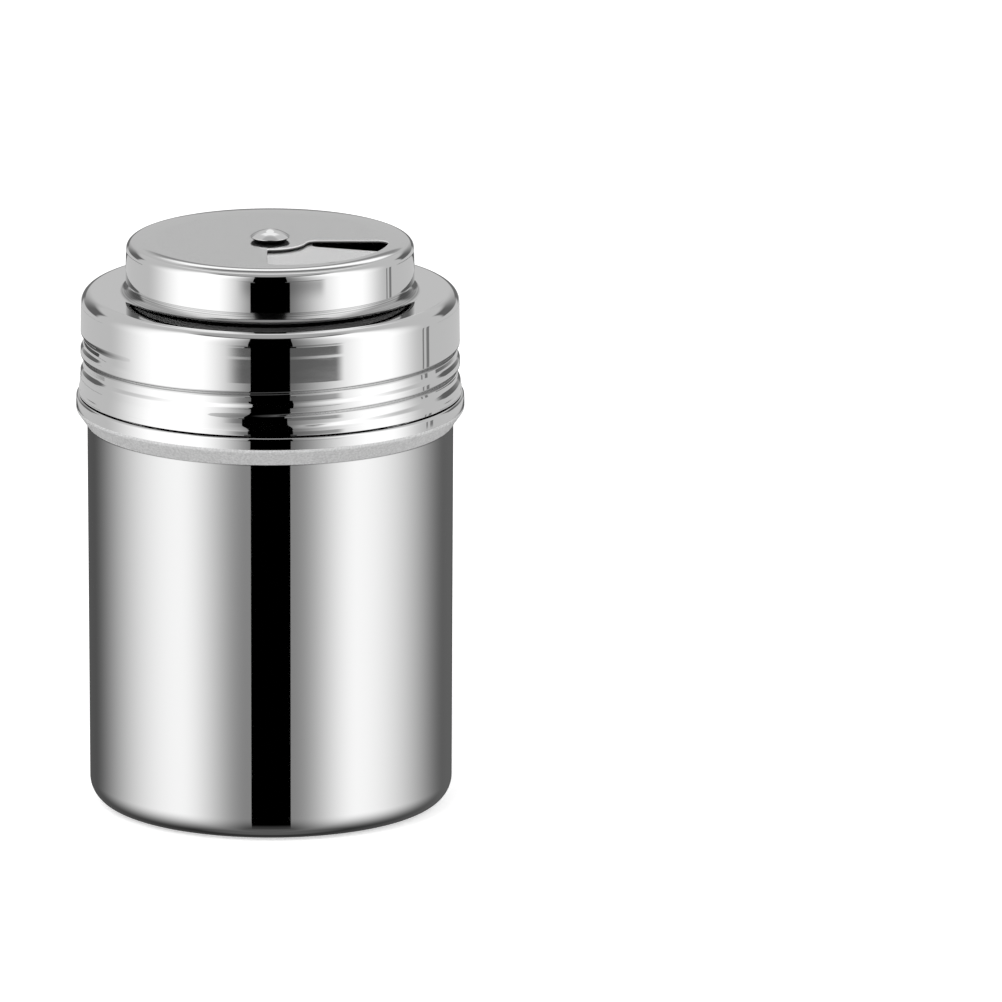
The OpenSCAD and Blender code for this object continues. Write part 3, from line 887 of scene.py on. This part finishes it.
def studio_light(tree):
    """The studio as polished metal sees it, by compass angle and by height in degrees.
    0 degrees is the front, +90 is the right. Lift tells nearly upright walls apart: the
    can's wall sees what lies below 0, the lid's skirt and belts 0.7 and 1.2, the dial's wall
    1.6 to 2.9 and the groove's floor 3.6."""
    direction = wire(tree, "ShaderNodeTexCoord").outputs["Generated"]
    axes = wire(tree, "ShaderNodeSeparateXYZ", {0: direction}).outputs
    degree = 180 / math.pi
    angle = calc(tree, "MULTIPLY",
                 calc(tree, "ARCTAN2", axes[0], calc(tree, "MULTIPLY", axes[1], -1.0)), degree)
    height = calc(tree, "MULTIPLY", calc(tree, "ARCSINE", axes[2]), degree)
    side = calc(tree, "ABSOLUTE", angle)
    right = calc(tree, "GREATER_THAN", angle, 0.0)
    turned = calc(tree, "COSINE", calc(tree, "DIVIDE", side, 2 * degree))
    lift = calc(tree, "DIVIDE", calc(tree, "ADD", height, LID_ELEVATION),
                calc(tree, "MAXIMUM", turned, 0.03))

    # The table in front of the shaker: two soft boxes with a dark gap between them
    rise = blend(tree, right, ramp(tree, side, 14, 60, 0.28, 1.15),
                 ramp(tree, side, 12.5, 58, 0.28, 1.17))
    fall = blend(tree, right, ramp(tree, side, 60, 150, 1.0, 0.08),
                 ramp(tree, side, 56, 144, 1.0, 0.11))
    boxes = blend(tree, ramp(tree, side, 158, 179), both(tree, rise, fall), 0.095)

    # The tent: dim at the front, brightest at the sides and grey behind
    rise = blend(tree, right, ramp(tree, side, 4, 46, 0.15, 1.3),
                 ramp(tree, side, 8, 66, 0.15, 1.3))
    fall = blend(tree, right, ramp(tree, side, 70, 116, 1.0, 0.46),
                 ramp(tree, side, 74, 108, 1.0, 0.46))
    tent = both(tree, rise, fall)
    level = blend(tree, ramp(tree, lift, -0.35, 0.0), boxes, tent)

    # Small dark things: cards in front, wider on the right, and a thin double stand
    card = blend(tree, right, ramp(tree, side, 15, 28, 1.0, 0.0),
                 ramp(tree, angle, 40, 47, 1.0, 0.0))
    near = calc(tree, "MAXIMUM", both(tree, band(tree, lift, 2.3, 3.0, 0.4), 0.5),
                both(tree, band(tree, lift, 0.98, 1.4, 0.04), 0.93))
    near = calc(tree, "MAXIMUM", near, both(tree, band(tree, lift, 3.3, 12, 0.2), 0.6))
    level = blend(tree, both(tree, card, near), level, 0.11)
    stand = calc(tree, "MAXIMUM", band(tree, angle, 107.0, 108.4, 0.4),
                 band(tree, angle, 110.9, 113.9, 0.4))
    stand = both(tree, stand, band(tree, lift, 0.3, 6.0, 0.2), 0.64)
    level = both(tree, level, calc(tree, "SUBTRACT", 1.0, stand))

    # Dark gaps low behind on both sides, and a low dark ledge right behind
    gap = both(tree, ramp(tree, side, 126, 132), ramp(tree, side, 142, 178, 1.0, 0.0))
    gap = both(tree, gap, ramp(tree, height, -1, 2), ramp(tree, height, 20, 27, 1.0, 0.0))
    slit = both(tree, ramp(tree, side, 122.5, 124.5), band(tree, lift, 3.35, 4.0, 0.08))
    gap = calc(tree, "MAXIMUM", both(tree, gap, 0.78), both(tree, slit, 0.88))
    level = both(tree, level, calc(tree, "SUBTRACT", 1.0, gap))
    ledge = both(tree, ramp(tree, side, 158, 163), band(tree, height, -8.0, 6.5, 1.5))
    level = blend(tree, ledge, level, 0.16)

    # Behind the shaker a white strip between two dark rails, and a white panel above them
    behind = ramp(tree, side, 177.3, 178.5)
    level = blend(tree, both(tree, behind, band(tree, height, 15.6, 16.9, 0.3)), level, 0.3)
    level = blend(tree, both(tree, behind, band(tree, height, 17.4, 19.6, 0.3)), level, 1.3)
    level = blend(tree, both(tree, behind, band(tree, height, 20.2, 22.6, 0.4)), level, 0.22)
    panel = both(tree, ramp(tree, side, 150, 165), band(tree, height, 42, 61, 3.0))
    level = blend(tree, panel, level, 0.95)

    # A dark rail over the front, the grey ceiling and the darker ground
    level = blend(tree, ramp(tree, height, 61, 72), level, 0.42)
    rail = both(tree, band(tree, height, 61.5, 69.5, 1.5), ramp(tree, side, 75, 110, 1.0, 0.0))
    level = blend(tree, rail, level, 0.16)
    level = both(tree, level, ramp(tree, height, -80, -10, 0.12, 1.0))
    level = calc(tree, "MAXIMUM", level, ramp(tree, height, -75, -55, 0.11, 0.0))

    # The black flag behind the camera: a straight stripe on every round wall, as wide as
    # each of the walls needs it
    across = calc(tree, "DIVIDE", axes[0],
                  calc(tree, "SUBTRACT", math.cos(math.radians(CAMERA_ELEVATION)), axes[1]))
    half = calc(tree, "ADD", 0.1049, both(tree, band(tree, lift, 1.42, 3.3, 0.03), 0.0336))
    half = calc(tree, "ADD", half, ramp(tree, lift, -0.5, -0.3, 0.0042, 0.0))
    half = calc(tree, "ADD", half, both(tree, ramp(tree, lift, 4.0, 4.2),
                                        ramp(tree, lift, 15.0, 75.0, 0.014, 0.005)))
    aside = calc(tree, "ABSOLUTE", calc(tree, "SUBTRACT", across, 0.004))
    flag = both(tree, calc(tree, "LESS_THAN", aside, half), calc(tree, "LESS_THAN", height, 66.0),
                calc(tree, "LESS_THAN", axes[1], 0.0), ramp(tree, height, -75, -45))
    return blend(tree, flag, level, 0.0)


def make_world():
    """White for the camera, an even grey for matte surfaces, the studio for polished metal."""
    world = bpy.data.worlds.new("studio")
    bpy.context.scene.world = world
    world.use_nodes = True
    tree = world.node_tree
    tree.nodes.clear()
    path = wire(tree, "ShaderNodeLightPath").outputs
    mirrored = calc(tree, "MAXIMUM", path["Is Glossy Ray"], path["Is Transmission Ray"])
    level = blend(tree, mirrored, AMBIENT, studio_light(tree))
    level = blend(tree, path["Is Camera Ray"], level, 1.0)
    background = wire(tree, "ShaderNodeBackground",
                      {"Color": (1, 1, 1, 1), "Strength": level}).outputs[0]
    output = wire(tree, "ShaderNodeOutputWorld")
    tree.links.new(background, output.inputs[0])


def add_lamp(name, position, size, power):
    """A soft lamp that aims at the shaker and that polished metal doesn't see."""
    bpy.ops.object.select_all(action="DESELECT")
    bpy.ops.object.light_add(type="AREA", location=position)
    lamp = bpy.context.object
    lamp.name = name
    lamp.data.size = size
    lamp.data.energy = power
    aim = Vector((0, 0, 0.05)) - Vector(position)
    lamp.rotation_euler = aim.to_track_quat("-Z", "Y").to_euler()
    lamp.visible_glossy = False
    lamp.visible_camera = False


# ---------------------------------------------------------------- camera

def make_camera():
    """A long lens in front of the shaker, aimed so that it stands left of the middle."""
    tilt = math.radians(CAMERA_ELEVATION)
    middle = PIXELS / 2
    right = (middle - AXIS_PIXEL_X) / PIXELS_PER_MM * MM
    up = (BASE_PIXEL_Y - middle) / (PIXELS_PER_MM * math.cos(tilt)) * MM
    aim = Vector((right, 0, up))
    back = Vector((0, -math.cos(tilt), math.sin(tilt)))
    bpy.ops.object.camera_add(location=aim + back * CAMERA_DISTANCE)
    camera = bpy.context.object
    camera.rotation_euler = (-back).to_track_quat("-Z", "Y").to_euler()
    camera.data.sensor_width = 36
    camera.data.lens = camera.data.sensor_width * CAMERA_DISTANCE / (PIXELS / PIXELS_PER_MM * MM)
    camera.data.clip_end = 20
    bpy.context.scene.camera = camera


make_floor()
make_world()
add_lamp("key_lamp", (-0.9, -1.1, 1.6), 1.2, 18)
add_lamp("fill_lamp", (1.2, -0.6, 1.2), 1.4, 8)
make_camera()
bpy.context.scene.view_settings.view_transform = "Standard"
